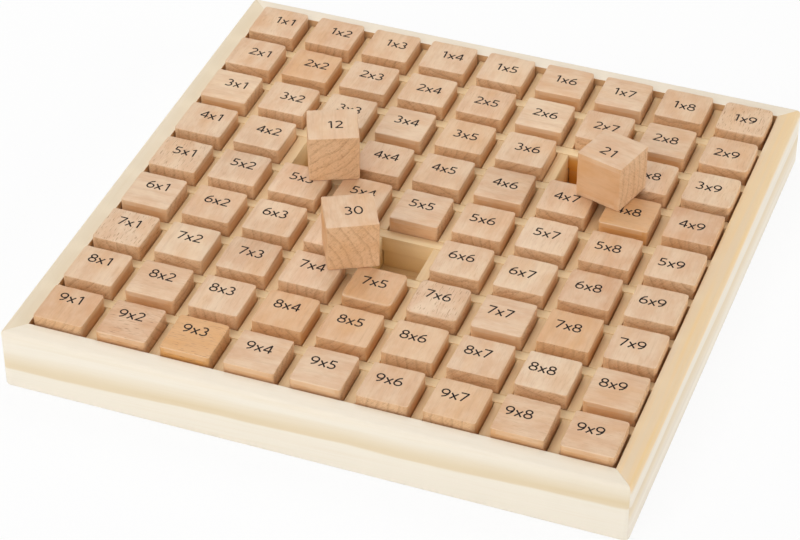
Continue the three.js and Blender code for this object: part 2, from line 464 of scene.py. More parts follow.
def beech_finish():
    """Sanded beech: faint growth rings, short dark ray flecks, rubbed edges with a painted highlight, pored
    and sawn end grain, and a painted warm glow on upright long-grain sides.
    """
    tones = colours()
    finish = Finish("sanded_beech")
    place = finish.attribute("wood", "Vector")
    along, across, rise = finish.parts(place)
    depth, warmth, figure = finish.parts(finish.attribute("tint", "Vector"))
    end = finish.attribute("end_grain")
    upright = finish.attribute("upright")
    slant = finish.node("ShaderNodeCombineXYZ", None, {0: along, 1: across + rise, 2: across - rise})
    sawn = finish.ramp(finish.noise(slant, *SAW_MARKS), *SAW_LEVELS) * end
    ring = finish.ring(across, rise, BEECH_RING_WIDTH, finish.grain(place, *BEECH_DRIFT) * BEECH_RING_DRIFT)
    line = finish.ramp(ring, *RING_LEVELS) * (1 - finish.ramp(ring, *RING_END_LEVELS))
    cloud = finish.ramp(finish.grain(place, *BEECH_CLOUD), *CLOUD_LEVELS)
    blush = finish.ramp(finish.grain(place, *BEECH_BLUSH), *BLUSH_LEVELS) * BLUSH_SHARE
    streak = finish.ramp(finish.grain(place, *BEECH_STREAK), *BEECH_STREAK_LEVELS) * BEECH_STREAK_SHARE
    fibre = finish.grain(place, *BEECH_FIBRE)
    fibres = finish.ramp(fibre, *BEECH_FIBRE_LEVELS) * BEECH_FIBRE_SHARE
    fleck = finish.ramp(finish.grain(place, *BEECH_DASH), *FLECK_LEVELS) * (1 - end) * figure
    pore = finish.ramp(finish.grain(place, *BEECH_PORE), *PORE_LEVELS) * end
    # Painted light: upright long-grain faces are warmed towards amber, though the tops of the same grain are
    # not.
    painted_side_glow = upright * (1 - end) * PAINTED_SIDE_GLOW_SHARE
    # The rounded rims between upright and level faces: paler as rubbed wear and as a painted highlight, and
    # glossier.
    rim_wear_and_highlight = upright * (1 - upright) * (1 - end)
    body = finish.mix(cloud + depth, tones.cube_pale, tones.cube_deep)
    body = finish.mix(warmth + painted_side_glow + blush, body, tones.cube_amber)
    body = finish.mix(end * END_SHARE, body, tones.cube_end)
    lines = line * (RING_SHARE + end * RING_END_GRAIN_SHARE) + pore * PORE_SHARE + sawn * SAW_SHARE
    body = finish.mix(lines + streak + fibres + fleck * FLECK_SHARE, body, tones.cube_ring)
    # Rubbed wear and painted highlight: the rims are mixed towards the palest beech.
    body = finish.mix(rim_wear_and_highlight * RIM_WEAR_AND_HIGHLIGHT_SHARE, body, tones.cube_pale)
    finish.surface(body, finish.ramp(fibre, *BEECH_ROUGHNESS_LEVELS) - rim_wear_and_highlight * RUBBED_GLOSS)
    drops = fleck * FLECK_DROP + line * RING_DROP + pore * PORE_DROP
    finish.bump(fibre * BEECH_FIBRE_RISE - drops, BEECH_BUMP)
    return finish.material


INK_SPECK = (1500.0, 1500.0, 3.0, 0.6)
INK_THIN_LEVELS = (0.45, 0.75)
INK_ROUGHNESS = 0.8
INK_SPECULAR = 0.2


def ink_finish():
    """Printed ink, a little uneven where the wood's grain shows through."""
    tones = colours()
    finish = Finish("printed_ink")
    thin = finish.ramp(finish.grain(finish.object_place(), *INK_SPECK), *INK_THIN_LEVELS)
    finish.surface(finish.mix(thin, tones.ink, tones.ink_thin), INK_ROUGHNESS)
    finish.shader.inputs["Specular IOR Level"].default_value = INK_SPECULAR
    return finish.material


# Modelling steps

ROUND_PROFILE = 0.5
SOFT_EDGE_STEPS = 2
# How quickly a face stops counting as end grain, or as an inner face, when it turns away.
FACING_POWER = 3


def take_up(piece):
    """Selects one piece alone."""
    bpy.ops.object.select_all(action="DESELECT")
    piece.select_set(True)
    bpy.context.view_layer.objects.active = piece


def work_on(piece):
    """Selects one piece alone and opens it for editing."""
    take_up(piece)
    bpy.ops.object.mode_set(mode="EDIT")


def put_down():
    bpy.ops.object.mode_set(mode="OBJECT")


def pick_all():
    bpy.ops.mesh.select_all(action="SELECT")


def pick(kind, wanted):
    """Selects the edges or faces of the open mesh that pass a test."""
    modes = {"edges": "EDGE", "faces": "FACE"}
    bpy.ops.mesh.select_mode(type=modes[kind])
    bpy.ops.mesh.select_all(action="DESELECT")
    mesh = bmesh.from_edit_mesh(bpy.context.edit_object.data)
    chosen = [item for item in getattr(mesh, kind) if wanted(item)]
    if not chosen:
        raise RuntimeError(f"no {kind} to work on in {bpy.context.edit_object.name}")
    for item in chosen:
        item.select_set(True)
    mesh.select_flush_mode()
    bmesh.update_edit_mesh(bpy.context.edit_object.data)


def near(first, second):
    return abs(first - second) < SAME_PLACE


def lies_at(item, axis, place):
    """Whether an edge or a face lies at one place along an axis."""
    return all(near(vertex.co[axis], place) for vertex in item.verts)


def round_off(width, segments):
    bpy.ops.mesh.bevel(
        offset=width,
        offset_type="OFFSET",
        segments=segments,
        profile=ROUND_PROFILE,
        affect="EDGES",
    )


def saw(place, direction, drop_front=False):
    """Cuts what is selected by a plane. What is in front of it may be dropped, and the cut closed."""
    bpy.ops.mesh.bisect(
        plane_co=place,
        plane_no=direction,
        use_fill=drop_front,
        clear_outer=drop_front,
        threshold=MERGED,
    )


def push(offset):
    bpy.ops.mesh.extrude_region_move(TRANSFORM_OT_translate={"value": offset})


def add_block(name, low, high):
    """A cube primitive sized and placed to fill a box, open for editing."""
    bpy.ops.mesh.primitive_cube_add(size=1.0, location=(low + high) / 2)
    piece = bpy.context.active_object
    piece.name = name
    piece.scale = high - low
    bpy.ops.object.transform_apply(location=True, rotation=True, scale=True)
    work_on(piece)
    return piece


def close_up(piece):
    """Merges doubles, turns faces outwards and smooths the rounded edges of the open piece."""
    pick_all()
    bpy.ops.mesh.remove_doubles(threshold=MERGED)
    bpy.ops.mesh.normals_make_consistent(inside=False)
    put_down()
    bpy.ops.object.shade_smooth_by_angle(angle=SMOOTH_ANGLE)
    return piece


def spin(angle):
    """A turn about the upright axis."""
    return Matrix.Rotation(angle, 4, "Z")


def middle_of(node):
    low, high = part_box(node)
    return (low + high) / 2


def copy_of(model, name, place):
    """A copy of a model with its own mesh, moved and turned by a matrix."""
    made = bpy.data.objects.new(name, model.data.copy())
    bpy.context.scene.collection.objects.link(made)
    made.data.name = name
    made.data.transform(place)
    return made


def throw_away(*models):
    for model in models:
        mesh = model.data
        bpy.data.objects.remove(model)
        bpy.data.meshes.remove(mesh)


def paint(piece, finish):
    piece.data.materials.clear()
    piece.data.materials.append(finish)


def note_faces(mesh, name, measure):
    """Keeps a number for each face, worked out from its normal."""
    notes = mesh.attributes.new(name, "FLOAT", "FACE")
    notes.data.foreach_set("value", [measure(face.normal) for face in mesh.polygons])


def timber(piece, fibre, across, middle, pith, tint):
    """Keeps each point's place in its own timber, counted from the pith, the tone of that timber,
    how far each face shows end grain, and how upright it stands."""
    mesh = piece.data
    axes = (fibre, across, fibre.cross(across))
    places = []
    for vertex in mesh.vertices:
        offset = vertex.co - middle
        places += [axis.dot(offset) + start for axis, start in zip(axes, pith)]
    wood = mesh.attributes.new("wood", "FLOAT_VECTOR", "POINT")
    wood.data.foreach_set("vector", places)
    tone = mesh.attributes.new("tint", "FLOAT_VECTOR", "POINT")
    tone.data.foreach_set("vector", list(tint) * len(mesh.vertices))
    note_faces(mesh, "end_grain", lambda normal: abs(normal.dot(fibre)) ** FACING_POWER)
    note_faces(mesh, "upright", lambda normal: 1 - abs(normal.z))


def settle(piece, node):
    """The piece stands for a node of the frame, and rides where that node rides."""
    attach(piece, frame["nodes"][node]["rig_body"])
    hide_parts(node)


# Tray

# For each rail: the degrees by which its fibres climb, where it lies in its log along the fibres and
# from the pith, and how deep, how resinous and how grey it is.
RAILS = {
    "front": (2.2, (0.0, 0.012, -0.069), (0.0, 0.1, 0.0)),
    "right": (-0.6, (0.7, -0.015, 0.118), (0.02, 0.9, 0.35)),
    "back": (0.5, (1.4, 0.02, 0.09), (0.0, 0.15, 0.0)),
    "left": (0.4, (2.1, 0.012, 0.075), (0.01, 0.2, 0.0)),
}
RAIL_RING_WIDTH = 26 * MILLIMETRE
RAIL_BAND_SHARE = 0.75
RAIL_HEART_LEVELS = (0.0265, 0.0305)
RAIL_CORNER_STEPS = 8
OUTER_EDGE_STEPS = 6
INNER_EDGE_STEPS = 4
BASE_PITH = (0.3, 0.05, 0.4)
PLAIN_TINT = (0.0, 0.0, 0.0)


def model_rail():
    """The front rail: the front of a rounded block, grooved for the base and mitred at both ends."""
    sizes = tray_sizes()
    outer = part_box("right_rail")[1].x - MERGED
    inner = -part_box("front_rail")[1].y
    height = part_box("front_rail")[1].z
    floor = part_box("base_panel")[1].z
    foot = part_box("base_panel")[0].z
    rail = add_block("rail_model", Vector((-outer, -outer, 0)), Vector((outer, outer, height)))
    pick("edges", lambda edge: not near(edge.verts[0].co.z, edge.verts[1].co.z))
    round_off(sizes.corner_radius, RAIL_CORNER_STEPS)
    pick("edges", lambda edge: lies_at(edge, Z_AXIS, height) or lies_at(edge, Z_AXIS, 0))
    round_off(sizes.outer_edge, OUTER_EDGE_STEPS)
    pick_all()
    saw((0, -inner, 0), (0, 1, 0), True)
    pick("edges", lambda edge: lies_at(edge, Y_AXIS, -inner) and lies_at(edge, Z_AXIS, height))
    round_off(sizes.inner_edge, INNER_EDGE_STEPS)
    for level in (foot, floor + sizes.groove_room):
        pick("faces", lambda face: lies_at(face, Y_AXIS, -inner))
        saw((0, 0, level), (0, 0, 1))

    def in_groove(face):
        return lies_at(face, Y_AXIS, -inner) and foot < face.calc_center_median().z < floor

    pick("faces", in_groove)
    push((0, -sizes.groove_depth, 0))
    for side in (-1, 1):
        pick_all()
        saw((side * (inner - sizes.mitre_seam / 2), -inner, 0), (side, 1, 0), True)
    return close_up(rail)


class BOARD_OT_rails(bpy.types.Operator):
    """Model one mitred rail and set its four copies round the base"""

    bl_idname = "board.rails"
    bl_label = "Rails"

    def execute(self, context):
        tones = colours()
        woods = (tones.rail_pale, tones.rail_band, tones.rail_yellow)
        finish = pine_finish("rail_pine", woods, RAIL_RING_WIDTH, RAIL_BAND_SHARE, RAIL_HEART_LEVELS)
        model = model_rail()
        middle = middle_of("front_rail")
        for turns, (side, (climb, pith, tint)) in enumerate(RAILS.items()):
            turn = spin(turns * QUARTER_TURN)
            rail = copy_of(model, f"pine_rail_{side}", turn)
            fibre = turn @ Matrix.Rotation(math.radians(-climb), 4, "Y") @ ALONG_X
            inwards = turn @ ALONG_Y
            timber(rail, fibre, inwards, turn @ middle, pith, tint)
            # Painted shade: how far each face looks into the tray, which the finish darkens.
            note_faces(rail.data, "inside", lambda normal: max(0, normal.dot(inwards)) ** FACING_POWER)
            paint(rail, finish)
            settle(rail, f"{side}_rail")
        throw_away(model)
        return {"FINISHED"}


class BOARD_OT_base(bpy.types.Operator):
    """Model the base board that sits in the rails' grooves"""

    bl_idname = "board.base"
    bl_label = "Base board"

    def execute(self, context):
        tones = colours()
        low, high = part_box("base_panel")
        base = add_block("ply_base", low, high)
        pick("edges", lambda edge: True)
        round_off(tray_sizes().base_edge, SOFT_EDGE_STEPS)
        close_up(base)
        timber(base, ALONG_X, ALONG_Y, (low + high) / 2, BASE_PITH, PLAIN_TINT)
        paint(base, board_finish("base_ply", tones.base_face, tones.base_band))
        settle(base, "base_panel")
        return {"FINISHED"}


# Dividers

DIVIDER_RING_WIDTH = 7 * MILLIMETRE
DIVIDER_BAND_SHARE = 0.35
DIVIDER_HEART_LEVELS = (0.0285, 0.0255)
# Painted light: how far the dividers' upright faces are painted paler.
DIVIDER_PAINTED_LIGHT_SHARE = 0.7
DIVIDER_SEED = 11
# Ranges that chance picks from: the place in the log, the resinous share and the depth of tone.
DIVIDER_PITHS = ((0, 9), (-0.02, 0.02), (0.03, 0.09))
DIVIDER_WARMTHS = (0.0, 0.2)
# Painted shade and light: the long dividers, which lie between the cubes, get a deeper tone and the cross
# dividers, which face into the pockets, a paler one; within each range the tone differs at random.
DIVIDER_DEPTHS_WITH_PAINTED_LIGHT = {"long": (0.12, 0.28), "cross": (0.0, 0.06)}
AMBER_DIVIDERS = {"cross_divider_2": 1.0, "long_divider_6": 0.6}
FLAT_ANGLE = math.radians(1)


def model_divider(node, other, notched_at_top):
    """A strip on edge along X, cut from a plane with a lap notch for each strip that it crosses.

    The long strips are notched at the top, and the cross strips at the bottom."""
    sizes = tray_sizes()
    low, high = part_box(node)
    run = Y_AXIS if notched_at_top else X_AXIS
    length = high[run] - low[run]
    thickness = high[1 - run] - low[1 - run]
    places = [middle_of(f"{other}_{index}")[run] for index in range(1, SIDE_COUNT)]
    half_notch = thickness / 2 + sizes.lap_room
    middle_height = (low.z + high.z) / 2
    lap_drop = sizes.lap_room / 2 if notched_at_top else -sizes.lap_room / 2
    notch_level = middle_height - lap_drop
    on_edge = (QUARTER_TURN, 0, 0)
    bpy.ops.mesh.primitive_plane_add(size=1.0, location=(0, 0, middle_height), rotation=on_edge)
    strip = bpy.context.active_object
    strip.name = f"{node}_model"
    strip.scale = (length, high.z - low.z, 1)
    bpy.ops.object.transform_apply(location=True, rotation=True, scale=True)
    work_on(strip)
    for place in places:
        for side in (-1, 1):
            pick_all()
            saw((place + side * half_notch, 0, 0), (1, 0, 0))
    pick_all()
    saw((0, 0, notch_level), (0, 0, 1))

    def in_notch(face):
        middle = face.calc_center_median()
        beyond = middle.z > notch_level if notched_at_top else middle.z < notch_level
        return beyond and any(abs(middle.x - place) < half_notch for place in places)

    pick("faces", in_notch)
    bpy.ops.mesh.delete(type="FACE")
    pick_all()
    bpy.ops.mesh.dissolve_limited(angle_limit=FLAT_ANGLE)
    pick_all()
    push((0, thickness, 0))
    pick_all()
    bpy.ops.transform.translate(value=(0, -thickness / 2, 0))
    bpy.ops.mesh.normals_make_consistent(inside=False)
    put_down()
    soften = strip.modifiers.new("soft_edges", "BEVEL")
    soften.width = sizes.divider_edge
    soften.segments = SOFT_EDGE_STEPS
    soften.limit_method = "ANGLE"
    bpy.ops.object.modifier_apply(modifier=soften.name)
    work_on(strip)
    return close_up(strip)


class BOARD_OT_dividers(bpy.types.Operator):
    """Model the two kinds of lapped strip and set eight of each on the base"""

    bl_idname = "board.dividers"
    bl_label = "Dividers"

    def execute(self, context):
        tones = colours()
        finish = pine_finish(
            "divider_pine",
            (tones.divider_pale, tones.divider_band, tones.divider_yellow),
            DIVIDER_RING_WIDTH,
            DIVIDER_BAND_SHARE,
            DIVIDER_HEART_LEVELS,
            DIVIDER_PAINTED_LIGHT_SHARE,
        )
        chance = random.Random(DIVIDER_SEED)
        kinds = {
            "long": (model_divider("long_divider_1", "cross_divider", True), spin(QUARTER_TURN)),
            "cross": (model_divider("cross_divider_1", "long_divider", False), Matrix.Identity(4)),
        }
        for kind, (model, turn) in kinds.items():
            fibre = (turn @ ALONG_X).normalized()
            across = (turn @ ALONG_Y).normalized()
            for index in range(1, SIDE_COUNT):
                node = f"{kind}_divider_{index}"
                middle = middle_of(node)
                place = Matrix.Translation((middle.x, middle.y, 0)) @ turn
                strip = copy_of(model, f"pine_divider_{kind}_{index}", place)
                pith = [chance.uniform(*limits) for limits in DIVIDER_PITHS]
                warmth = AMBER_DIVIDERS.get(node, chance.uniform(*DIVIDER_WARMTHS))
                tint = (chance.uniform(*DIVIDER_DEPTHS_WITH_PAINTED_LIGHT[kind]), warmth, 0.0)
                timber(strip, fibre, across, middle, pith, tint)
                paint(strip, finish)
                settle(strip, node)
            throw_away(model)
        return {"FINISHED"}


# Printed numbers

ROUND_STEPS = 14
FEWEST_STEPS = 3
FULL_CIRCLE = 360
SIGN_WIDTHS = {"1": 0.56, "x": 0.54}
USUAL_SIGN_WIDTH = 0.64
SIGN_STRETCH = 1.2


def bow(middle_x, middle_y, half_width, half_height, start, end):
    """Points along part of an ellipse, from one angle to another in degrees."""
    steps = max(FEWEST_STEPS, round(ROUND_STEPS * abs(end - start) / FULL_CIRCLE))
    angles = [math.radians(start + (end - start) * step / steps) for step in range(steps + 1)]
    return [(middle_x + half_width * math.cos(a), middle_y + half_height * math.sin(a)) for a in angles]


def digit_strokes():
    """The strokes of each sign, in digit heights from its lower left."""
    return {
        "0": [bow(0.29, 0.485, 0.25, 0.455, 90, 450)],
        "1": [[(0.13, 0.80), (0.34, 0.955)], [(0.33, 0.0), (0.33, 0.97)]],
        "2": [bow(0.275, 0.70, 0.22, 0.24, 152, -30) + [(0.05, 0.03)], [(0.03, 0.05), (0.55, 0.05)]],
        "3": [bow(0.24, 0.715, 0.20, 0.225, 140, -80), bow(0.23, 0.265, 0.245, 0.235, 84, -140)],
        "4": [[(0.43, 0.0), (0.43, 0.95)], [(0.44, 0.95), (0.04, 0.29)], [(0.02, 0.27), (0.58, 0.27)]],
        "5": [
            [(0.50, 0.90), (0.14, 0.90)],
            [(0.16, 0.93), (0.12, 0.52)],
            bow(0.235, 0.295, 0.255, 0.255, 118, -140),
        ],
        "6": [bow(0.30, 0.285, 0.235, 0.245, 90, 450), bow(0.52, 0.30, 0.455, 0.62, 98, 182)],
        "7": [[(0.03, 0.905), (0.55, 0.905)], [(0.53, 0.92), (0.19, 0.0)]],
        "8": [bow(0.29, 0.715, 0.195, 0.205, 90, 450), bow(0.29, 0.265, 0.24, 0.235, 90, 450)],
        "9": [bow(0.28, 0.655, 0.235, 0.255, 90, 450), bow(0.06, 0.65, 0.455, 0.61, 2, -80)],
        "x": [[(0.03, 0.0), (0.45, 0.66)], [(0.45, 0.0), (0.03, 0.66)]],
    }


def model_signs(finish):
    """Each sign drawn once: its strokes as thin tubes, then pressed flat."""
    sizes = cube_sizes()
    flattening = 2 * sizes.ink_rise / sizes.pen_width
    signs = {}
    for sign, strokes in digit_strokes().items():
        drawing = bpy.data.curves.new(f"sign_{sign}", "CURVE")
        drawing.dimensions = "3D"
        drawing.bevel_depth = sizes.pen_width / 2
        drawing.bevel_resolution = 0
        drawing.use_fill_caps = True
        for points in strokes:
            closed = math.dist(points[0], points[-1]) < SAME_PLACE
            kept = points[:-1] if closed else points
            line = drawing.splines.new("POLY")
            line.points.add(len(kept) - 1)
            line.use_cyclic_u = closed
            for point, (right, up) in zip(line.points, kept):
                point.co = (right * SIGN_STRETCH * sizes.digit_height, up * sizes.digit_height, 0, 1)
        model = bpy.data.objects.new(f"sign_{sign}", drawing)
        bpy.context.scene.collection.objects.link(model)
        take_up(model)
        bpy.ops.object.convert(target="MESH")
        model = bpy.context.active_object
        work_on(model)
        pick_all()
        bpy.ops.transform.resize(value=(1, 1, flattening), center_override=(0, 0, 0))
        close_up(model)
        paint(model, finish)
        signs[sign] = model
    return signs


def print_words(signs, words, place):
    """Copies of signs in a row, centred on a place and facing along its Z."""
    height = cube_sizes().digit_height
    widths = [SIGN_WIDTHS.get(sign, USUAL_SIGN_WIDTH) * SIGN_STRETCH * height for sign in words]
    start = -sum(widths) / 2
    printed = []
    for sign, width in zip(words, widths):
        offset = Matrix.Translation((start, -height / 2, 0))
        printed.append(copy_of(signs[sign], "ink", place @ offset))
        start += width
    return printed


# Cubes

FIBRES_ALONG = {"x": ALONG_X, "y": ALONG_Y}
FIBRES_ACROSS = {"x": ALONG_Y, "y": ALONG_X}
SIDEWAYS_GRAIN = "1x6 1x7 2x6 3x4 4x6 6x1 8x2 8x9 9x2 9x3 9x4 9x5 9x8 9x9 7x7 5x5 3x1 2x8 4x8 3x7".split()
SOFT_CUBES = "1x9 2x9 3x9 7x5 7x6".split()
CRISP_CUBES = "4x9 5x8 7x8 9x4 9x8 8x7 4x3 6x5 3x7".split()
DEEP_CUBES = "7x8 5x8 4x9 1x2 2x2 6x8 7x5 8x4 8x5 9x1 9x2".split()
PALE_CUBES = "6x7 8x8 2x6 3x9 7x2 3x1".split()
AMBER_CUBES = {
    "9x3": 0.75, "4x8": 0.5, "7x8": 0.35, "8x4": 0.35, "7x5": 0.3, "9x7": 0.3,
    "3x5": 0.25, "2x2": 0.25, "8x5": 0.25, "8x6": 0.25,
}
FLECKED_CUBES = "7x1 5x1 9x2 7x6 9x3 1x9".split()
# Where the pith lies, as an angle round the fibres, for the cubes that show their end grain best.
RING_ANGLES = {"4x3": math.radians(55), "6x5": math.radians(-25), "3x7": 0.0}
# Ranges that chance picks from: tones, flecks and the place in the log.
USUAL_DEPTHS = (0.4, 0.56)
DEEP_DEPTHS = (0.62, 0.76)
PALE_DEPTHS = (0.18, 0.3)
USUAL_AMBERS = (0.0, 0.12)
USUAL_FLECKS = (0.05, 0.3)
FULL_FLECKS = (0.8, 1.0)
PITH_DISTANCES = (0.02, 0.08)
PITHS_ALONG = (0, 20)
SEATED_SEED = 5
STANDING_SEED = 8

EDGE_CUTS = 8
CUBE_EDGE_STEPS = 3
STEEP_SLOPE = 0.1
LEVEL_SLOPE = 0.9
# How far from an edge the sanding reaches, in roundings, and how coarse it is on each kind of cube.
SANDING_REACH = 1.1
USUAL_GRIT = 3.5 * MILLIMETRE
SOFT_GRIT = 4.5 * MILLIMETRE
CRISP_GRIT = 3 * MILLIMETRE
ROUNDED_DIGITS = 6


def half_cube():
    """Half the height of a cube's solid."""
    low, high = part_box("answer_cube_12")
    return (high.z - low.z) / 2


def model_cube(name, rim, grit):
    """A cube with its middle at the origin and its edges sanded round by hand, a little unevenly."""
    sizes = cube_sizes()
    half = half_cube() - sizes.skin
    corner = rim * sizes.corner_share
    cube = add_block(name, Vector((-half, -half, -half)), Vector((half, half, half)))
    pick_all()
    bpy.ops.mesh.subdivide(number_cuts=EDGE_CUTS)

    def on_corner(edge):
        return all(near(abs(vertex.co.x), half) and near(abs(vertex.co.y), half) for vertex in edge.verts)

    def on_rim(edge):
        slopes = sorted(abs(face.normal.z) for face in edge.link_faces)
        return slopes[0] < STEEP_SLOPE and slopes[-1] > LEVEL_SLOPE

    pick("edges", on_corner)
    round_off(corner, CUBE_EDGE_STEPS)
    pick("edges", on_rim)
    round_off(rim, CUBE_EDGE_STEPS)
    close_up(cube)
    sanded = cube.vertex_groups.new(name="sanded")
    flat = half - SAME_PLACE
    reach = [half - rounding * SANDING_REACH for rounding in (corner, corner, rim)]
    for vertex in cube.data.vertices:
        places = [abs(place) for place in vertex.co]
        beyond = sum(place > limit for place, limit in zip(places, reach))
        if beyond > 1 or max(places) < flat:
            sanded.add([vertex.index], 1.0, "REPLACE")
    paper = bpy.data.textures.new(f"{name}_paper", "CLOUDS")
    paper.noise_scale = grit
    sanding = cube.modifiers.new("sanding", "DISPLACE")
    sanding.texture = paper
    sanding.texture_coords = "LOCAL"
    sanding.strength = sizes.uneven
    sanding.mid_level = 1.0
    sanding.vertex_group = sanded.name
    take_up(cube)
    bpy.ops.object.modifier_apply(modifier=sanding.name)
    cube.vertex_groups.clear()
    bpy.data.textures.remove(paper)
    return cube


def cube_tops():
    """The node, pocket, middle and turn of each cube in the frame, from the corners of its top face."""
    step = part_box("long_divider_2")[0].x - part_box("long_divider_1")[0].x
    found = []
    for node, solid in frame["nodes"].items():
        if "cube" not in node:
            continue
        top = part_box(node)[1].z
        tops = [vertex.co for vertex in solid.data.vertices if near(vertex.co.z, top)]
        corners = {(round(place.x, ROUNDED_DIGITS), round(place.y, ROUNDED_DIGITS)) for place in tops}
        pockets = {}
        for right, back in corners:
            pocket = (MIDDLE_COUNT - round(back / step), MIDDLE_COUNT + round(right / step))
            key = node if node in STANDING_CUBES else pocket
            pockets.setdefault(key, []).append(Vector((right, back, top)))
        for pocket, places in pockets.items():
            middle = sum(places, Vector()) / len(places)
            first = max(places, key=lambda place: place.x + place.y) - middle
            turn = math.atan2(first.y, first.x) - QUARTER_TURN / 2
            found.append((node, pocket, middle, turn))
    return found


def tone_of(task, chance):
    """The depth, amber share and figure of a cube's beech."""
    depth = chance.uniform(*USUAL_DEPTHS)
    if task in DEEP_CUBES:
        depth = chance.uniform(*DEEP_DEPTHS)
    if task in PALE_CUBES:
        depth = chance.uniform(*PALE_DEPTHS)
    figure = chance.uniform(*USUAL_FLECKS)
    if task in FLECKED_CUBES:
        figure = chance.uniform(*FULL_FLECKS)
    return depth, AMBER_CUBES.get(task, chance.uniform(*USUAL_AMBERS)), figure


# How far right and back of the middle the task is printed, and how that drifts by row and column.
PRINT_AT = (-0.1 * MILLIMETRE, 1.7 * MILLIMETRE)
PRINT_BY_ROW = (-0.33 * MILLIMETRE, 0.28 * MILLIMETRE)
PRINT_BY_COLUMN = (-0.32 * MILLIMETRE, -0.26 * MILLIMETRE)
PRINT_STRAY = 0.7 * MILLIMETRE
PRINT_ASKEW = math.radians(1.5)


def print_place(row, column):
    """How far right and back of a cube's middle its task is printed."""
    rows = row - MIDDLE_COUNT
    columns = column - MIDDLE_COUNT
    drifts = zip(PRINT_AT, PRINT_BY_ROW, PRINT_BY_COLUMN)
    return [start + rows * by_row + columns * by_column for start, by_row, by_column in drifts]


class CubeMaker:
    """Blanks, signs and finishes that the cubes share, and the steps that make one cube of them."""

    def __init__(self, seed):
        sizes = cube_sizes()
        self.chance = random.Random(seed)
        self.beech = bpy.data.materials.get("sanded_beech") or beech_finish()
        self.signs = model_signs(bpy.data.materials.get("printed_ink") or ink_finish())
        self.usual = model_cube("usual_blank", sizes.usual_edge, USUAL_GRIT)
        self.soft = model_cube("soft_blank", sizes.soft_edge, SOFT_GRIT)
        self.crisp = model_cube("crisp_blank", sizes.crisp_edge, CRISP_GRIT)

    def blank_for(self, task):
        if task in SOFT_CUBES:
            return self.soft
        return self.crisp if task in CRISP_CUBES else self.usual

    def make(self, node, task, above, below, middle, turn, grain, print_at):
        """One cube with its numbers on top and underneath."""
        chance = self.chance
        half = half_cube()
        face = half - cube_sizes().skin
        place = Matrix.Translation((middle.x, middle.y, middle.z - half)) @ spin(turn)
        quarter = spin(chance.randrange(4) * QUARTER_TURN)
        cube = copy_of(self.blank_for(task), f"beech_cube_{task}", place @ quarter)
        turned = place.to_3x3()
        fibre = turned @ FIBRES_ALONG[grain]
        across = turned @ FIBRES_ACROSS[grain]
        distance = chance.uniform(*PITH_DISTANCES)
        angle = RING_ANGLES.get(task, chance.uniform(0, math.tau))
        pith = (chance.uniform(*PITHS_ALONG), distance * math.cos(angle), distance * math.sin(angle))
        timber(cube, fibre, across, place.translation, pith, tone_of(task, chance))
        paint(cube, self.beech)
        askew = spin(chance.uniform(-PRINT_ASKEW, PRINT_ASKEW))
        right, back = [offset + chance.uniform(-PRINT_STRAY, PRINT_STRAY) for offset in print_at]
        to_top = Matrix.Translation((right, back, face)) @ askew
        to_bottom = Matrix.Translation((0, 0, -face)) @ Matrix.Rotation(math.pi, 4, "X")
        words = print_words(self.signs, above, place @ to_top)
        words += print_words(self.signs, below, place @ to_bottom)
        take_up(cube)
        for word in words:
            word.select_set(True)
        bpy.ops.object.join()
        settle(cube, node)

    def clear_away(self):
        throw_away(self.usual, self.soft, self.crisp, *self.signs.values())


class BOARD_OT_seated_cubes(bpy.types.Operator):
    """Model the cubes in their pockets, with the task on top and the answer underneath"""

    bl_idname = "board.seated_cubes"
    bl_label = "Cubes in their pockets"

    def execute(self, context):
        maker = CubeMaker(SEATED_SEED)
        seated = [found for found in cube_tops() if found[0] not in STANDING_CUBES]
        for node, (row, column), middle, turn in sorted(seated, key=lambda found: found[1]):
            task = f"{row}x{column}"
            answer = str(row * column)
            grain = "x" if task in SIDEWAYS_GRAIN else "y"
            maker.make(node, task, task, answer, middle, turn, grain, print_place(row, column))
        maker.clear_away()
        return {"FINISHED"}


# The task, the way of the grain, and how far right and back of the middle the answer is printed.
STANDING_CUBES = {
    "answer_cube_12": ("4x3", "y", (1.2 * MILLIMETRE, 0.0)),
    "answer_cube_30": ("6x5", "y", (2.2 * MILLIMETRE, 0.0)),
    "answer_cube_21": ("3x7", "x", (0.5 * MILLIMETRE, -2.8 * MILLIMETRE)),
}


class BOARD_OT_standing_cubes(bpy.types.Operator):
    """Model the cubes that are taken out and stood on their neighbours, with the answer on top"""

    bl_idname = "board.standing_cubes"
    bl_label = "Cubes taken out"

    def execute(self, context):
        maker = CubeMaker(STANDING_SEED)
        for node, _, middle, turn in cube_tops():
            if node in STANDING_CUBES:
                task, grain, print_at = STANDING_CUBES[node]
                answer = node.rsplit("_", 1)[1]
                maker.make(node, task, answer, task, middle, turn, grain, print_at)
        maker.clear_away()
        return {"FINISHED"}


# Stage

CAMERA_AIM = Vector((0.0065, -0.04416, 0.033))
CAMERA_AROUND = math.radians(20.45)
CAMERA_ABOVE = math.radians(38.3)
CAMERA_DISTANCE = 1.1407
CAMERA_LENS = 122.5
CAMERA_SENSOR = 36.0
FLOOR_SIDE = 12.0
FLOOR_DROP = 0.2 * MILLIMETRE
FLOOR_COLOUR = (0.92, 0.92, 0.91, 1.0)
FLOOR_GLOW_SHARE = 0.9
WHITE = (1.0, 1.0, 1.0, 1.0)
SKY_STRENGTH = 0.13
LAMP_SIDE_SHARE = 0.7
# Degrees round the board, degrees above the floor, metres away, and watts.
LAMPS = {
    "top_lamp": (-155, 60, 0.85, 2.8),
    "rim_lamp": (-28, 58, 1.7, 1.1),
    "left_lamp": (-85, 30, 1.7, 5.6),
    "key_lamp": (-14, 42, 1.7, 9.0),
    "front_lamp": (-1, 17, 1.7, 9.7),
    "right_lamp": (98, 14, 1.7, 17.2),
}


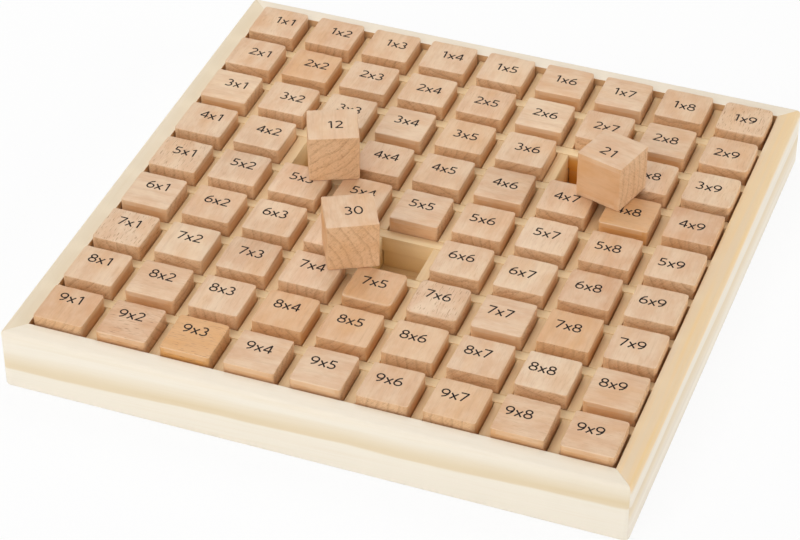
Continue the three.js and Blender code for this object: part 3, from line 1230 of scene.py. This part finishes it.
def direction_to(around, above):
    """The way from the object to a place round and above it, from the front at 0 towards the right."""
    level = math.cos(above)
    return Vector((math.sin(around) * level, -math.cos(around) * level, math.sin(above)))


def seen_ray(nodes):
    """1 for rays that come from the camera, straight or by a mirror or glass."""
    seen = nodes.node("ShaderNodeLightPath", output="Is Camera Ray")
    for name in ("Is Glossy Ray", "Is Transmission Ray"):
        seen = nodes.sum("MAXIMUM", seen, nodes.node("ShaderNodeLightPath", output=name))
    return seen


def make_floor():
    """A pale floor that the camera sees as white, with the object's soft shadow left on it."""
    bpy.ops.mesh.primitive_plane_add(size=FLOOR_SIDE, location=(0, 0, -FLOOR_DROP))
    floor = bpy.context.active_object
    floor.name = "studio_floor"
    material = bpy.data.materials.new("studio_floor")
    material.use_nodes = True
    material.node_tree.nodes.clear()
    nodes = Nodes(material.node_tree)
    matt = nodes.node("ShaderNodeBsdfDiffuse", None, {"Color": FLOOR_COLOUR})
    glow = nodes.node("ShaderNodeEmission", None, {"Color": WHITE})
    share = seen_ray(nodes) * FLOOR_GLOW_SHARE
    both = nodes.node("ShaderNodeMixShader", None, {0: share, 1: matt, 2: glow})
    nodes.node("ShaderNodeOutputMaterial", None, {"Surface": both})
    paint(floor, material)


def make_sky():
    """An even pale sky that the camera sees as white."""
    world = bpy.data.worlds.new("studio_sky")
    world.use_nodes = True
    world.node_tree.nodes.clear()
    nodes = Nodes(world.node_tree)
    light = nodes.node("ShaderNodeBackground", None, {"Color": WHITE, "Strength": SKY_STRENGTH})
    white = nodes.node("ShaderNodeBackground", None, {"Color": WHITE})
    both = nodes.node("ShaderNodeMixShader", None, {0: seen_ray(nodes), 1: light, 2: white})
    nodes.node("ShaderNodeOutputWorld", None, {"Surface": both})
    bpy.context.scene.world = world


def make_lamp(name, around, above, distance, power):
    """A square soft lamp that faces the board."""
    toward = direction_to(math.radians(around), math.radians(above))
    bpy.ops.object.light_add(type="AREA", location=toward * distance)
    lamp = bpy.context.active_object
    lamp.name = name
    lamp.rotation_euler = toward.to_track_quat("Z", "Y").to_euler()
    lamp.data.shape = "SQUARE"
    lamp.data.size = distance * LAMP_SIDE_SHARE
    lamp.data.energy = power


class BOARD_OT_stage(bpy.types.Operator):
    """Set the floor, the soft lamps and the camera"""

    bl_idname = "board.stage"
    bl_label = "Studio"

    def execute(self, context):
        make_floor()
        make_sky()
        for name, lamp in LAMPS.items():
            make_lamp(name, *lamp)
        away = direction_to(CAMERA_AROUND, CAMERA_ABOVE)
        bpy.ops.object.camera_add(location=CAMERA_AIM + away * CAMERA_DISTANCE)
        camera = bpy.context.active_object
        camera.name = "photo_camera"
        camera.rotation_euler = away.to_track_quat("Z", "Y").to_euler()
        camera.data.lens = CAMERA_LENS
        camera.data.sensor_width = CAMERA_SENSOR
        scene = bpy.context.scene
        scene.camera = camera
        scene.view_settings.view_transform = "Standard"
        return {"FINISHED"}


class BOARD_PT_panel(bpy.types.Panel):
    """The board's pieces and settings"""

    bl_idname = "BOARD_PT_panel"
    bl_label = "Multiplication board"
    bl_space_type = "VIEW_3D"
    bl_region_type = "UI"
    bl_category = "Board"

    def draw(self, context):
        layout = self.layout
        for step in STEPS:
            layout.operator(step.bl_idname)
        for name, group in SETTINGS.items():
            box = layout.box()
            for setting in group.__annotations__:
                box.prop(getattr(context.scene, name), setting)


STEPS = (
    BOARD_OT_rails,
    BOARD_OT_base,
    BOARD_OT_dividers,
    BOARD_OT_seated_cubes,
    BOARD_OT_standing_cubes,
    BOARD_OT_stage,
)


CLASSES = (*SETTINGS.values(), *STEPS, BOARD_PT_panel)


def register():
    for item in CLASSES:
        bpy.utils.register_class(item)
    for name, group in SETTINGS.items():
        setattr(bpy.types.Scene, name, bpy.props.PointerProperty(type=group))


def unregister():
    for name in SETTINGS:
        delattr(bpy.types.Scene, name)
    for item in reversed(CLASSES):
        bpy.utils.unregister_class(item)


def main():
    register()
    for step in STEPS:
        group, name = step.bl_idname.split(".")
        getattr(getattr(bpy.ops, group), name)()


if __name__ == "__main__":
    main()
